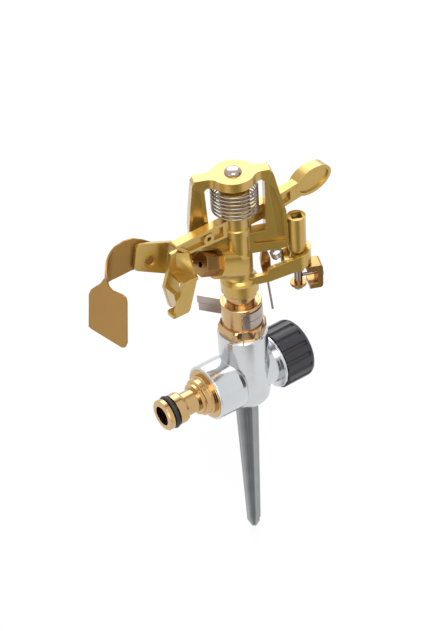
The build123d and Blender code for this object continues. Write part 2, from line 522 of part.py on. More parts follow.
with BuildPart() as hammer_arm:
    about_upright(
        (0, ARM_Z), (HUB_FLANGE_R, ARM_Z), (HUB_FLANGE_R, HUB_FLANGE_TOP - 0.6),
        (HUB_FLANGE_R - 0.5, HUB_FLANGE_TOP), (HUB_R, HUB_FLANGE_TOP), (HUB_R, HUB_TOP), (0, HUB_TOP),
    )
    with BuildSketch(Plane.XZ):
        Polygon((-3.0, ARM_Z + 1.0), (-28.6, ARM_Z + 1.6), (-35.0, ARM_Z + 7.6),
                (-35.3, ARM_Z + 8.5), (-34.6, ARM_Z + 9.1), (-8.1, HUB_TOP - 2.3), (-3.0, HUB_TOP - 1.9))
        Polygon((3.0, ARM_Z + 1.8), (22.0, ARM_Z + 2.3), (38.0, ARM_Z + 4.7), (38.0, ARM_Z + 13.1),
                (22.0, ARM_Z + 10.9), (8.0, HUB_TOP - 1.9), (3.0, HUB_TOP - 1.9))
    extrude(amount=BEAM_HALF, both=True)
    # Pockets on both faces of the beams, with a drilled boss left in the front one
    for side in (-1, 1):
        with BuildSketch(Plane.XZ.offset(side * BEAM_HALF)):
            Polygon((-9.0, 110.9), (-32.6, 110.4), (-27.9, 105.8), (-9.0, 105.4))
            with Locations((DRILL_X, DRILL_Z)):
                Circle(2.9, mode=Mode.SUBTRACT)
            Polygon((9.4, 111.4), (9.4, 106.2), (21.6, 106.7), (30.0, 108.0), (30.0, 113.0),
                    (22.0, 111.9))
        extrude(amount=-side * (BEAM_HALF - 0.9), mode=Mode.SUBTRACT)
    with BuildSketch(Plane.XZ):
        with Locations((DRILL_X, DRILL_Z)):
            Circle(1.1)
    extrude(amount=2 * BEAM_HALF, both=True, mode=Mode.SUBTRACT)
    # Drive vane: a twisted web from the beam's end down to the cage's top plate
    with BuildSketch(Plane.XY.offset(106.0)):
        with Locations(Location((-31.7, 0.1, 0), (0, 0, -39))):
            Rectangle(8.2, 2.0)
    with BuildSketch(Plane.XY.offset(94.6)):
        with Locations(Location((-31.2, -4.2, 0), (0, 0, -73))):
            Rectangle(10.4, 2.0)
    loft(ruled=True)
    with BuildSketch(Plane.XY.offset(94.2)):
        Polygon((-37.2, -9.3), (-28.9, -9.3), (-31.4, 0.3), (-36.8, 0.3))
    extrude(amount=1.8)
    # Cage: near plate, far plate, sloping floor and the hooked foot
    with BuildSketch(Plane.XZ.offset(7.1)):
        Polygon((-37.2, 96.0), (-29.3, 95.6), (-34.6, 79.6), (-35.6, 78.5), (-42.3, 78.5),
                (-42.9, 79.1))
    extrude(amount=2.2)
    with BuildSketch(Plane.XZ.offset(-2.3)):
        Polygon((-36.5, 106.4), (-37.6, 101.3), (-38.4, 98.2), (-41.6, 89.5), (-39.4, 77.9),
                (-38.6, 77.2), (-34.9, 77.2), (-34.3, 78.2), (-33.0, 95.0), (-31.0, 106.4))
    extrude(amount=2.0)
    with BuildSketch(Plane.XZ):
        Polygon((-41.6, 90.6), (-39.4, 90.6), (-37.4, 79.5), (-39.6, 79.5))
    extrude(amount=-0.4)
    with BuildSketch(Plane.XZ):
        Polygon((-41.6, 90.6), (-39.4, 90.6), (-37.4, 79.5), (-39.6, 79.5))
    extrude(amount=7.2)
    with BuildSketch(Plane.XY.offset(78.5)):
        with Locations((-39.6, -6.4)):
            RectangleRounded(8.8, 5.8, 1.2)
    extrude(amount=1.8)
    # Counterweight paddle with a sunk, bare face on each side
    with BuildSketch(Plane.XZ.offset(-3.5)):
        with Locations(Location((PADDLE_X, PADDLE_Z, 0), (0, 0, PADDLE_LEAN))):
            Ellipse(10.6, 6.6)
    extrude(amount=6.0)
    for level, depth in ((2.5, -0.8), (-3.5, 0.8)):
        with BuildSketch(Plane.XZ.offset(level)):
            with Locations(Location((PADDLE_X, PADDLE_Z, 0), (0, 0, PADDLE_LEAN))):
                Ellipse(8.9, 5.0)
        extrude(amount=depth, mode=Mode.SUBTRACT)
    with BuildSketch(Plane.XY.offset(ARM_Z)):
        Circle(BUSH_R)
    extrude(amount=HUB_TOP - ARM_Z, mode=Mode.SUBTRACT)
hammer_arm.part.label = "hammer_arm"

with BuildPart() as arm_bushing:
    ring(BUSH_R, PIN_R + RUN, ARM_Z, HUB_TOP)
arm_bushing.part.label = "arm_bushing"

with BuildPart() as arm_washer:
    ring(ARM_WASHER_R, PIN_R, NECK_TOP, ARM_Z - ARM_PLAY)
arm_washer.part.label = "arm_washer"

with BuildPart() as arm_spring:
    rise = SPRING_Z[1] - SPRING_Z[0]
    coil(
        SPRING_R, SPRING_WIRE_R, rise / SPRING_TURNS, rise, (0, 0, SPRING_Z[0]), (0, 0, 1),
        (SPRING_R, 0, SPRING_Z[0]), (0, 1, 0),
    )
arm_spring.part.label = "arm_spring"

# Deflector flap

with BuildPart() as flap_wall:
    with BuildSketch(FLAP.offset(-40)):
        with BuildLine():
            lead = Line((3.4, FLAP_T / 2), (-17.6, FLAP_T / 2))
            bend = RadiusArc(lead @ 1, (-17.6 - FLAP_BEND_R, -FLAP_BEND_R + FLAP_T / 2), -FLAP_BEND_R)
            Line(bend @ 1, (-17.6 - FLAP_BEND_R, -10.5))
            offset(amount=FLAP_T / 2, side=Side.BOTH)
        make_face()
    extrude(amount=80)
    with BuildSketch(Plane(origin=FLAP.origin, x_dir=FLAP.x_dir, z_dir=(0, -1, 0)).offset(-3)):
        Polygon(
            (3.4, 1.0), (2.6, 6.4), (-1.5, 9.2), (-10.7, 14.7), (-13.6, 15.2), (-16.5, 14.6),
            (-20.2, 13.0), (-22.6, 11.0), (-25.0, 6.6), (-26.8, 2.6), (-26.8, -0.4),
            (-24.5, -2.0), (-18.5, -3.4), (-9.5, -3.6), (-3.0, -3.6), (2.0, -3.0),
        )
    extrude(amount=16, mode=Mode.INTERSECT)

with BuildPart() as deflector_flap:
    add(flap_wall.part)
    face_x = -17.6 - FLAP_BEND_R - FLAP_T / 2
    with BuildSketch(Plane(origin=FLAP.origin + FLAP.x_dir * face_x, x_dir=(0, 1, 0), z_dir=FLAP.x_dir)):
        Polygon(
            (-5.2, 3.6), (-9.2, 1.6), (-9.6, -2.4), (-11.2, -4.0), (-19.2, -4.6), (-20.9, -5.6),
            (-21.4, -7.0), (-23.0, -26.2), (-22.6, -29.6), (-20.6, -31.2), (-1.0, -32.1),
            (2.2, -31.6), (3.4, -29.6), (3.9, -16.4), (3.0, -13.6), (-0.9, -6.4), (-3.6, -2.0),
        )
    extrude(amount=FLAP_T)
    with BuildSketch(Plane.XZ.offset(-TAB_BACK)):
        with Locations((SCREW_X, SCREW_Z)):
            Circle(SCREW_R + RUN)
    extrude(amount=-2.0, mode=Mode.SUBTRACT)
deflector_flap.part.label = "deflector_flap"

flap_back = TAB_BACK + REST + FLAP_T

with BuildPart() as deflector_screw:
    with BuildSketch(Plane.XZ.offset(-TAB_Y - 0.4)):
        with Locations((SCREW_X, SCREW_Z)):
            Circle(SCREW_R)
    extrude(amount=TAB_Y + 0.4 - flap_back - 0.1)
    with BuildSketch(Plane.XZ.offset(-flap_back - 0.1)):
        with Locations((SCREW_X, SCREW_Z)):
            Circle(3.6)
    extrude(amount=-1.9)
deflector_screw.part.label = "deflector_screw"

# Trip mechanism

with BuildPart() as trip_shaft:
    dome = 2.9
    with BuildSketch(Plane.XY.offset(TRIP_SHAFT_Z[0] + 2.6)):
        with Locations(TRIP_XY):
            Circle(TRIP_SHAFT_R)
    extrude(amount=TRIP_SHAFT_Z[1] - TRIP_SHAFT_Z[0] - 2.6)
    with Locations((*TRIP_XY, TRIP_SHAFT_Z[0] + 2.6)):
        Sphere(dome, arc_size1=-90, arc_size2=0)
trip_shaft.part.label = "trip_shaft"

with BuildPart() as trip_washer:
    ring(3.95, TRIP_SHAFT_R, 65.9, 67.2, TRIP_XY)
trip_washer.part.label = "trip_washer"

with BuildPart() as trip_shackle:
    with BuildSketch(BRIDGE.offset(-2.4)):
        Polygon(
            (31.8, 78.6), (38.4, 78.6), (39.3, 78.0), (39.5, 77.2), (39.5, 67.4), (39.2, 66.2),
            (38.4, 65.6), (33.0, 65.6), (33.0, 68.2), (36.9, 68.2), (36.9, 76.0), (31.8, 76.0),
        )
    extrude(amount=8.0)
    with BuildSketch(BRIDGE_ALONG.offset(36.0)):
        with Locations((0, SHACKLE_PIN_Z)):
            Circle(SHACKLE_PIN_R)
    extrude(amount=5, mode=Mode.SUBTRACT)
trip_shackle.part.label = "trip_shackle"

with BuildPart() as shackle_pin:
    with BuildSketch(BRIDGE_ALONG.offset(TRIP_U + TRIP_SHAFT_R)):
        with Locations((0, SHACKLE_PIN_Z)):
            Circle(SHACKLE_PIN_R)
    extrude(amount=39.5 - TRIP_U - TRIP_SHAFT_R)
    with BuildSketch(BRIDGE_ALONG.offset(39.5)):
        with Locations((0, SHACKLE_PIN_Z)):
            Circle(2.3)
    extrude(amount=1.1)
shackle_pin.part.label = "shackle_pin"

with BuildPart() as trip_lever:
    with BuildSketch(Plane.XY.offset(LEVER_Z)):
        with Locations(Location((0, 0, 0), (0, 0, BRIDGE_ANGLE))):
            with Locations((TRIP_U, 0)):
                Circle(3.0)
            with Locations((PAWL_U, 0)):
                Rectangle(TRIP_U - PAWL_U, 3.6, align=(Align.MIN, Align.CENTER))
        with Locations(TRIP_XY):
            Circle(TRIP_SHAFT_R, mode=Mode.SUBTRACT)
    extrude(amount=1.6)
    with BuildSketch(BRIDGE):
        Polygon(
            (PAWL_U - 1.8, 89.1), (PAWL_U + 0.9, 89.1), (PAWL_U + 2.2, 85.0), (PAWL_U + 2.2, 78.0),
            (PAWL_U + 1.6, LEVER_Z), (PAWL_U - 1.2, LEVER_Z), (PAWL_U - 2.2, 79.0),
            (PAWL_U - 2.5, 84.0),
        )
    extrude(amount=1.4, both=True)
    with BuildSketch(BRIDGE.offset(1.4)):
        with Locations((PAWL_U + 0.3, 82.6)):
            Circle(1.1)
    extrude(amount=0.5)
    with BuildSketch(BRIDGE_TOP.offset(LEVER_Z)):
        with Locations((PAWL_U + 0.5, 0)):
            Circle(WIRE_R)
    extrude(amount=1.8, mode=Mode.SUBTRACT)
trip_lever.part.label = "trip_lever"

with BuildPart() as trip_wire:
    with BuildLine(BRIDGE) as wire_run:
        FilletPolyline(
            (PAWL_U + 0.5, LEVER_Z + 1.6), (PAWL_U + 0.5, LEVER_Z - 2.0), (15.5, 53.4), radius=12,
        )
    with BuildSketch(BRIDGE_TOP.offset(LEVER_Z + 1.6)):
        with Locations((PAWL_U + 0.5, 0)):
            Circle(WIRE_R)
    sweep(path=wire_run.line)
trip_wire.part.label = "trip_wire"

with BuildPart() as trip_spring:
    centre = BRIDGE.from_local_coords(Vector(TRIP_SPRING_U, TRIP_SPRING_Z, -1.7))
    start = BRIDGE.from_local_coords(Vector(TRIP_SPRING_U + TRIP_SPRING_R, TRIP_SPRING_Z, -1.7))
    coil(TRIP_SPRING_R, 0.42, 1.05, 3.4, centre, BRIDGE_N, start, (0, 0, 1))
trip_spring.part.label = "trip_spring"

for piece in (
    ground_spike, tee_body, inlet_connector, inlet_o_ring, inlet_washer, outlet_cap, cap_washer,
    bearing_sleeve, friction_collar_lower, friction_collar_upper, swivel_tube, bearing_washers,
    bearing_spring, sprinkler_body, nozzle, fulcrum_pin, hammer_arm, arm_bushing, arm_washer,
    arm_spring, deflector_flap, deflector_screw, trip_shaft, trip_washer, trip_shackle,
    shackle_pin, trip_lever, trip_wire, trip_spring,
):
    export_step(piece.part, f"parts/{piece.part.label}.step")
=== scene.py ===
"""Impulse sprinkler on its ground spike, dressed and lit for one product picture."""

from math import asin, cos, pi, radians, sin

import bmesh
import bpy
from bpy.props import FloatProperty, PointerProperty, StringProperty
from bpy.types import Operator, Panel, PropertyGroup
from mathutils import Matrix, Vector


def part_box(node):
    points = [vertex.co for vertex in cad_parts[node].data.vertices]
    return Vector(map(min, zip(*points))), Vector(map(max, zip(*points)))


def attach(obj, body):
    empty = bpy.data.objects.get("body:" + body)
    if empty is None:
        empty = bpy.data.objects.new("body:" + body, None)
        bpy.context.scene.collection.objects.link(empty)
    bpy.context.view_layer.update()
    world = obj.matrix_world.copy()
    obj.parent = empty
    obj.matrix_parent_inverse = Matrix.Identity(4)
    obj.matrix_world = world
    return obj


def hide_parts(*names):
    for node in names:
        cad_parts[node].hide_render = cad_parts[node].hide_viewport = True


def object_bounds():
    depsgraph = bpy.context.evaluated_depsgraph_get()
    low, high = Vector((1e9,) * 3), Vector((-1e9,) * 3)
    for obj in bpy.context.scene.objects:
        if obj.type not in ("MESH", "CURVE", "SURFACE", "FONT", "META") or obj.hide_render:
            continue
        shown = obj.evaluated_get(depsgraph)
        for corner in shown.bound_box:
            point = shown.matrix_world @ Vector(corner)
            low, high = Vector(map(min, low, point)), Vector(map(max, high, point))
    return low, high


bl_info = {
    "name": "Impulse Sprinkler",
    "version": (1, 0, 0),
    "blender": (4, 5, 0),
    "location": "3D View > Sidebar > Sprinkler",
    "description": "Dresses the sprinkler's castings, springs and hose tail, and lights them",
    "category": "Object",
}

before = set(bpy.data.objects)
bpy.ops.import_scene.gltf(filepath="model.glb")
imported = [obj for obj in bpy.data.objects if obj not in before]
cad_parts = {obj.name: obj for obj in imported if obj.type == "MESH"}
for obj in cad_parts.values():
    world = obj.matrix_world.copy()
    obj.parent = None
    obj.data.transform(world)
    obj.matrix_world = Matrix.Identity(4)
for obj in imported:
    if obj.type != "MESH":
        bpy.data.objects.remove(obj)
CAD_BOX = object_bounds()
MM = 0.001

# Turned pieces in millimetres: rings of (radius, height), where HEX limits a ring to a hexagon;
# the nozzle's heights are counted along its own axis
HEX = True
SLEEVE = (
    (7.06, 28.5), (9.4, 28.5), (9.4, 44.5), (11.2, 44.5, HEX), (11.9, 45.0, HEX),
    (11.9, 49.2, HEX), (10.6, 50.0, HEX), (9.75, 50.0), (9.75, 60.9), (10.15, 61.2),
    (10.15, 62.2), (9.75, 62.6), (8.9, 62.6), (8.9, 47.0), (7.06, 47.0),
)
SLEEVE_FLATS, SLEEVE_TURN = 21.0, radians(-25.5)
NOZZLE = (
    (3.0, 8.3), (4.0, 8.3), (4.0, 14.3), (6.1, 14.3, HEX), (6.1, 23.0, HEX), (1.5, 23.0),
    (1.5, 18.0),
)
NOZZLE_FLATS, NOZZLE_RISE, NOZZLE_FOOT = 10.5, radians(22), 85.2
DRUM = ((2.7, 114.0), (7.2, 114.0), (7.2, 126.3), (6.7, 126.8), (2.7, 126.8))
PIN_SHANK = ((0, 92.0), (2.3, 92.0), (2.5, 92.2))
# The pin's head, its heights counted from the bridge's top
PIN_R = 2.5
PIN_HEAD = (
    (4.1, 0.0), (4.1, 0.3), (3.9, 0.9), (3.4, 1.5), (2.6, 1.9), (1.7, 2.1), (0.8, 2.2), (0, 2.2),
)

# Top of the bridge in millimetres, its ends counted along the bar from the arm's axis
BRIDGE_TURN = radians(-23.6)
CROWN_R, CROWN_HALF, CROWN_FILLET = 10.2, 3.03, 5.0
CROWN_ENDS, CROWN_BOTTOM, CROWN_PROUD = (-18.6, 16.6), 131.0, 0.05

# Deflector flap in millimetres: a strip bent round the tab's end, and a flat paddle that hangs
# from it. Its outlines are (run from the screw, height), the paddle's from the strip's end.
FLAP_AT, FLAP_LEAN, FLAP_T = Vector((-44.3, 8.0, 103.4)), radians(10), 0.8
FLAP_START, FLAP_RUN, FLAP_BEND, FLAP_TURN = -3.4, 17.9, 8.9, radians(102)
FLAP_STEPS, SHEET_ROWS = 48, 6
BAND_TOP = (
    (-3.4, 1.0), (-2.6, 6.4), (-1.9, 8.3), (3.7, 11.3), (9.2, 13.3), (13.7, 13.3), (18.1, 11.7),
    (21.5, 9.3), (25.3, 6.0), (29.5, 1.5), (33.7, -3.4),
)
BAND_LOW = (
    (-3.4, -2.6), (3.0, -3.6), (8.8, -3.6), (14.0, -4.7), (17.0, -5.3), (20.2, -5.7),
    (27.0, -5.2), (33.7, -5.6),
)
PADDLE = (
    (-4.5, 0.9), (-6.5, -2.6), (-9.4, -5.5), (-11.9, -8.2), (-13.1, -11.4), (-12.1, -28.4),
    (-10.0, -28.8), (-0.9, -28.9), (9.2, -29.0), (10.9, -28.1), (12.0, -25.3), (10.2, -4.5),
    (9.3, -2.3), (7.1, -1.9), (1.1, -2.7), (-1.7, -1.4), (-3.2, 1.5),
)

# Camera, fitted to the picture: it sees the point ANCHOR at the pixel ANCHOR_PIXEL
AZIMUTH, ELEVATION, ROLL = radians(-33.0), radians(38.6), radians(4.32)
SENSOR, FITTED_LENS, DISTANCE = 36.0, 100.0, 0.867
PICTURE = (421, 631)
ANCHOR, ANCHOR_PIXEL = (0, 0, 0.016), (245.15, 373.0)

# Stage, in metres: lamps are (name, power setting, width, place, target), and cards are
# (name, size, place, target, shade)
LAMPS = (
    ("key_lamp", "key", 0.5, (-0.25, -0.45, 0.75), (0, 0, 0.05)),
    ("back_lamp", "back", 0.6, (0.36, 0.56, 0.56), (0, 0, 0.08)),
    ("left_lamp", "left", 0.5, (-0.75, -0.12, -0.04), (0, 0, 0.08)),
)
FLOOR_HALF, FLOOR_GAP, FLOOR_GLOW = 3.0, 0.3 * MM, 0.86
CARDS = (
    ("right_flag", (0.2, 0.7), (0.45, -0.35, 0.05), (0, 0, 0.05), "#141416"),
    ("front_flag", (0.16, 0.5), (-0.2, -0.42, -0.02), (0, 0, 0.03), "#141416"),
    ("floor_flag", (0.34, 0.26), (-0.14, -0.3, CAD_BOX[0][2] + 0.002), (-0.14, -0.3, 1.0),
     "#5A544C"),
)


# Settings

class CastingLook(PropertyGroup):
    """Colours of the painted and bare castings."""

    gold: StringProperty(name="Gold paint", description="Main colour of the head and the arm",
                         default="#C6A34D")
    gold_shade: StringProperty(name="Gold shade", description="Second colour the paint drifts to",
                               default="#B4903B")
    zinc: StringProperty(name="Zinc", description="Colour of the bare tee", default="#D6D8DA")
    spike: StringProperty(name="Spike", description="Colour of the dull ground spike",
                          default="#A9ABAC")
    edge: FloatProperty(name="Edge", description="Radius that softens the castings' edges",
                        default=0.35 * MM, min=0.0, unit="LENGTH")


class TurnedLook(PropertyGroup):
    """Colours of the machined brass, the sheet and the moulded cap."""

    brass: StringProperty(name="Brass", description="Machined brass", default="#D2B07E")
    nozzle: StringProperty(name="Nozzle brass",
                           description="Browner brass of the nozzle and the trip pieces",
                           default="#B48C5A")
    sheet: StringProperty(name="Flap sheet", description="Satin sheet of the deflector flap",
                          default="#A57F43")
    cap: StringProperty(name="Cap", description="Moulded plastic of the outlet cap",
                        default="#2F2D33")


class SpringSizes(PropertyGroup):
    """Sizes of the hammer arm's coil spring."""

    radius: FloatProperty(name="Coil radius", description="Centre line radius of the arm spring",
                          default=10.7 * MM, min=0.001, unit="LENGTH")
    wire: FloatProperty(name="Wire radius", description="Half the wire's thickness",
                        default=0.5 * MM, min=0.0001, unit="LENGTH")
    turns: FloatProperty(name="Turns", description="Turns in the arm spring", default=7.0,
                         min=1.0)


class StageLook(PropertyGroup):
    """Camera and light of the picture."""

    lens: FloatProperty(name="Lens", description="Focal length", default=100.0, min=10.0,
                        unit="CAMERA")
    key: FloatProperty(name="Key light", description="Power of the large lamp above", default=3.2,
                       min=0.0, unit="POWER")
    back: FloatProperty(name="Back light",
                        description="Power of the large lamp behind, seen in level faces",
                        default=3.0, min=0.0, unit="POWER")
    left: FloatProperty(name="Left light",
                        description="Power of the lamp at the left, seen in the drive vane",
                        default=1.3, min=0.0, unit="POWER")
    world: FloatProperty(name="World", description="Strength of the light from all round",
                         default=0.75, min=0.0)


# Helpers

def add_object(name, data):
    """An object in the scene that holds a mesh, a lamp or a camera."""
    holder = bpy.data.objects.new(name, data)
    bpy.context.scene.collection.objects.link(holder)
    return holder


def srgb(code):
    """A hex colour as the linear RGBA that a shader socket takes."""
    parts = [int(code[i:i + 2], 16) / 255 for i in (1, 3, 5)]
    linear = (c / 12.92 if c <= 0.04045 else ((c + 0.055) / 1.055) ** 2.4 for c in parts)
    return (*linear, 1.0)


def add_node(tree, kind, settings=None, links=None, **values):
    """One node: attributes in settings, socket values by name, and links {socket: output}."""
    node = tree.nodes.new(kind)
    for key, value in (settings or {}).items():
        setattr(node, key, value)
    for key, value in values.items():
        node.inputs[key.replace("_", " ")].default_value = value
    for key, output in (links or {}).items():
        tree.links.new(output, node.inputs[key])
    return node


def new_material(name):
    """An empty node material with its output and shader."""
    material = bpy.data.materials.get(name) or bpy.data.materials.new(name)
    material.use_nodes = True
    tree = material.node_tree
    tree.nodes.clear()
    shader = tree.nodes.new("ShaderNodeBsdfPrincipled")
    output = tree.nodes.new("ShaderNodeOutputMaterial")
    tree.links.new(shader.outputs["BSDF"], output.inputs["Surface"])
    return material, tree, shader


def seen_directly(tree):
    """Nodes that give 1 where the camera or a reflection looks; returns them and the rays."""
    rays = add_node(tree, "ShaderNodeLightPath")
    seen = add_node(tree, "ShaderNodeMath", {"operation": "MAXIMUM"},
                    {0: rays.outputs["Is Camera Ray"], 1: rays.outputs["Is Glossy Ray"]})
    return seen.outputs[0], rays


def surface(name, base, tint, *, drift, grain, depth, rough, swing, edge, rings=None, **values):
    """A material whose colour drifts from base to tint.

    A grain moves the normal by its depth and the roughness by its swing, and the edges are
    softened; grain, depth and edge are in millimetres. A lathe's rings lie along one axis.
    """
    material, tree, shader = new_material(name)
    place = add_node(tree, "ShaderNodeTexCoord").outputs["Object"]
    cloud = add_node(tree, "ShaderNodeTexNoise", None, {"Vector": place},
                     Scale=drift, Detail=3.0, Roughness=0.55)
    colour = add_node(tree, "ShaderNodeMix", {"data_type": "RGBA"},
                      {"Factor": cloud.outputs["Fac"]})
    colour.inputs[6].default_value = srgb(base)
    colour.inputs[7].default_value = srgb(tint)
    tree.links.new(colour.outputs[2], shader.inputs["Base Color"])
    speck = add_node(tree, "ShaderNodeTexNoise", None, {"Vector": place},
                     Scale=1.0 / (grain * MM), Detail=4.0, Roughness=0.6)
    span = add_node(tree, "ShaderNodeMapRange", None, {"Value": speck.outputs["Fac"]},
                    To_Min=rough - swing, To_Max=rough + swing)
    tree.links.new(span.outputs["Result"], shader.inputs["Roughness"])
    edges = add_node(tree, "ShaderNodeBevel", {"samples": 6}, None, Radius=edge * MM)
    bump = add_node(tree, "ShaderNodeBump", None,
                    {"Height": speck.outputs["Fac"], "Normal": edges.outputs["Normal"]},
                    Strength=1.0, Distance=depth * MM)
    if rings:
        bump = lathe_rings(tree, place, bump, rings)
    tree.links.new(bump.outputs["Normal"], shader.inputs["Normal"])
    for key, value in values.items():
        shader.inputs[key.replace("_", " ")].default_value = value
    return material


def lathe_rings(tree, place, bump, along, pitch=0.5, depth=0.004):
    """Fine rings left by a lathe tool, spaced along one axis of the piece, in millimetres."""
    lines = add_node(tree, "ShaderNodeTexWave",
                     {"wave_type": "BANDS", "bands_direction": along, "wave_profile": "SIN"},
                     {"Vector": place}, Scale=2 * pi / 20 / (pitch * MM), Distortion=0.6,
                     Detail=1.0)
    return add_node(tree, "ShaderNodeBump", None,
                    {"Height": lines.outputs["Fac"], "Normal": bump.outputs["Normal"]},
                    Strength=1.0, Distance=depth * MM)


# Materials

def gold_paint():
    """Metal-flake paint over die-cast zinc: a warm, half-mirror gloss with a faint orange peel."""
    look = bpy.context.scene.sprinkler_castings
    return surface("Gold_Metallic_Paint", look.gold, look.gold_shade, drift=60.0, grain=0.5,
                   depth=0.012, rough=0.34, swing=0.05, edge=look.edge / MM, Metallic=0.82,
                   Coat_Weight=0.9, Coat_Roughness=0.18)


def bare_zinc():
    """Die-cast zinc as it leaves the mould: bright and slightly rippled."""
    look = bpy.context.scene.sprinkler_castings
    return surface("Die_Cast_Zinc", look.zinc, "#C6C9CC", drift=45.0, grain=1.6, depth=0.012,
                   rough=0.2, swing=0.05, edge=look.edge / MM, Metallic=1.0)


def dull_spike():
    """Zinc that has been pushed through soil: greyer and rougher than the tee."""
    look = bpy.context.scene.sprinkler_castings
    return surface("Dull_Cast_Zinc", look.spike, "#8E9192", drift=90.0, grain=0.9, depth=0.02,
                   rough=0.36, swing=0.07, edge=0.2, Metallic=1.0)


def machined_brass():
    """Free-cutting brass from the lathe: bright, with tool rings about the water line."""
    look = bpy.context.scene.sprinkler_turned
    return surface("Machined_Brass", look.brass, "#BF9C68", drift=70.0, grain=0.4, depth=0.004,
                   rough=0.18, swing=0.04, edge=0.2, rings="X", Metallic=1.0)


def upright_brass():
    """The same brass turned about the upright axis, for the sleeve and the swivel tube."""
    look = bpy.context.scene.sprinkler_turned
    return surface("Machined_Brass_Upright", look.brass, "#B8956A", drift=70.0, grain=0.4,
                   depth=0.004, rough=0.2, swing=0.04, edge=0.2, rings="Z", Metallic=1.0)


def brown_brass():
    """Older, browner brass of the nozzle and the trip pieces."""
    look = bpy.context.scene.sprinkler_turned
    return surface("Brown_Brass", look.nozzle, "#A47A45", drift=120.0, grain=0.4, depth=0.006,
                   rough=0.3, swing=0.05, edge=0.25, Metallic=1.0)


def flap_sheet():
    """Rolled sheet with a satin, faintly streaked face."""
    look = bpy.context.scene.sprinkler_turned
    return surface("Satin_Brass_Sheet", look.sheet, "#98743B", drift=40.0, grain=0.35,
                   depth=0.004, rough=0.42, swing=0.05, edge=0.1, Metallic=0.75)


def spring_wire():
    """Drawn stainless wire, bright with a warm cast."""
    return surface("Drawn_Spring_Wire", "#A99E96", "#94887F", drift=200.0, grain=0.2,
                   depth=0.002, rough=0.24, swing=0.04, edge=0.05, Metallic=1.0)


def strip_steel():
    """Cold-rolled stainless strip: bright and finely brushed, with a warm cast."""
    return surface("Rolled_Strip_Steel", "#B9ADA6", "#9B8E86", drift=150.0, grain=0.15,
                   depth=0.002, rough=0.22, swing=0.05, edge=0.08, Metallic=1.0)


def moulded_cap():
    """Polypropylene out of a spark-eroded mould: near black with a soft sheen."""
    look = bpy.context.scene.sprinkler_turned
    return surface("Moulded_Polypropylene", look.cap, "#29272D", drift=80.0, grain=0.25,
                   depth=0.01, rough=0.34, swing=0.05, edge=0.4, IOR=1.49)


def nitrile_rubber():
    """Moulded nitrile rubber: black and nearly matte."""
    return surface("Nitrile_Rubber", "#1B1A1B", "#232122", drift=120.0, grain=0.3, depth=0.01,
                   rough=0.5, swing=0.06, edge=0.05, IOR=1.52)


def fibre_washer():
    """Pressed fibre: red-brown and matte."""
    return surface("Pressed_Fibre", "#8C5433", "#7A4527", drift=200.0, grain=0.2, depth=0.01,
                   rough=0.7, swing=0.06, edge=0.05)


def dress(material, *nodes):
    """Give CAD pieces their finish."""
    for name in nodes:
        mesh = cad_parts[name].data
        mesh.materials.clear()
        mesh.materials.append(material)


# Geometry Nodes coil

def coil_tree():
    """A round wire wound into an upright coil, its sizes as named inputs."""
    tree = bpy.data.node_groups.get("Wound_Coil")
    if tree:
        return tree
    tree = bpy.data.node_groups.new("Wound_Coil", "GeometryNodeTree")
    face = tree.interface
    face.new_socket("Geometry", in_out="OUTPUT", socket_type="NodeSocketGeometry")
    for name in ("Coil Radius", "Wire Radius", "Height", "Turns"):
        face.new_socket(name, in_out="INPUT", socket_type="NodeSocketFloat")
    face.new_socket("Material", in_out="INPUT", socket_type="NodeSocketMaterial")
    given = tree.nodes.new("NodeGroupInput")
    out = tree.nodes.new("NodeGroupOutput")
    path = add_node(tree, "GeometryNodeCurveSpiral", None, {
        "Start Radius": given.outputs["Coil Radius"], "End Radius": given.outputs["Coil Radius"],
        "Height": given.outputs["Height"], "Rotations": given.outputs["Turns"]}, Resolution=56)
    wire = add_node(tree, "GeometryNodeCurvePrimitiveCircle", None,
                    {"Radius": given.outputs["Wire Radius"]}, Resolution=16)
    tube = add_node(tree, "GeometryNodeCurveToMesh", None,
                    {"Curve": path.outputs["Curve"], "Profile Curve": wire.outputs["Curve"]},
                    Fill_Caps=True)
    smooth = add_node(tree, "GeometryNodeSetShadeSmooth", None,
                      {"Geometry": tube.outputs["Mesh"]})
    real = add_node(tree, "GeometryNodeRealizeInstances", None,
                    {"Geometry": smooth.outputs["Geometry"]})
    skin = add_node(tree, "GeometryNodeSetMaterial", None,
                    {"Geometry": real.outputs["Geometry"], "Material": given.outputs["Material"]})
    tree.links.new(skin.outputs["Geometry"], out.inputs["Geometry"])
    return tree


def wind_coil(name, radius, wire, height, turns, material, place):
    """Run the coil tree once and keep its plain mesh, moved to its place."""
    carrier = bpy.data.objects.new(name + "_carrier", bpy.data.meshes.new(name + "_carrier"))
    bpy.context.scene.collection.objects.link(carrier)
    modifier = carrier.modifiers.new("Coil", "NODES")
    modifier.node_group = coil_tree()
    sockets = {s.name: s.identifier for s in modifier.node_group.interface.items_tree
               if s.item_type == "SOCKET" and s.in_out == "INPUT"}
    for key, value in (("Coil Radius", radius), ("Wire Radius", wire), ("Height", height),
                       ("Turns", turns), ("Material", material)):
        modifier[sockets[key]] = value
    bpy.context.view_layer.update()
    graph = bpy.context.evaluated_depsgraph_get()
    mesh = bpy.data.meshes.new_from_object(carrier.evaluated_get(graph))
    bpy.data.objects.remove(carrier)
    mesh.transform(place)
    mesh.name = name
    piece = add_object(name, mesh)
    return piece


# Shaped pieces

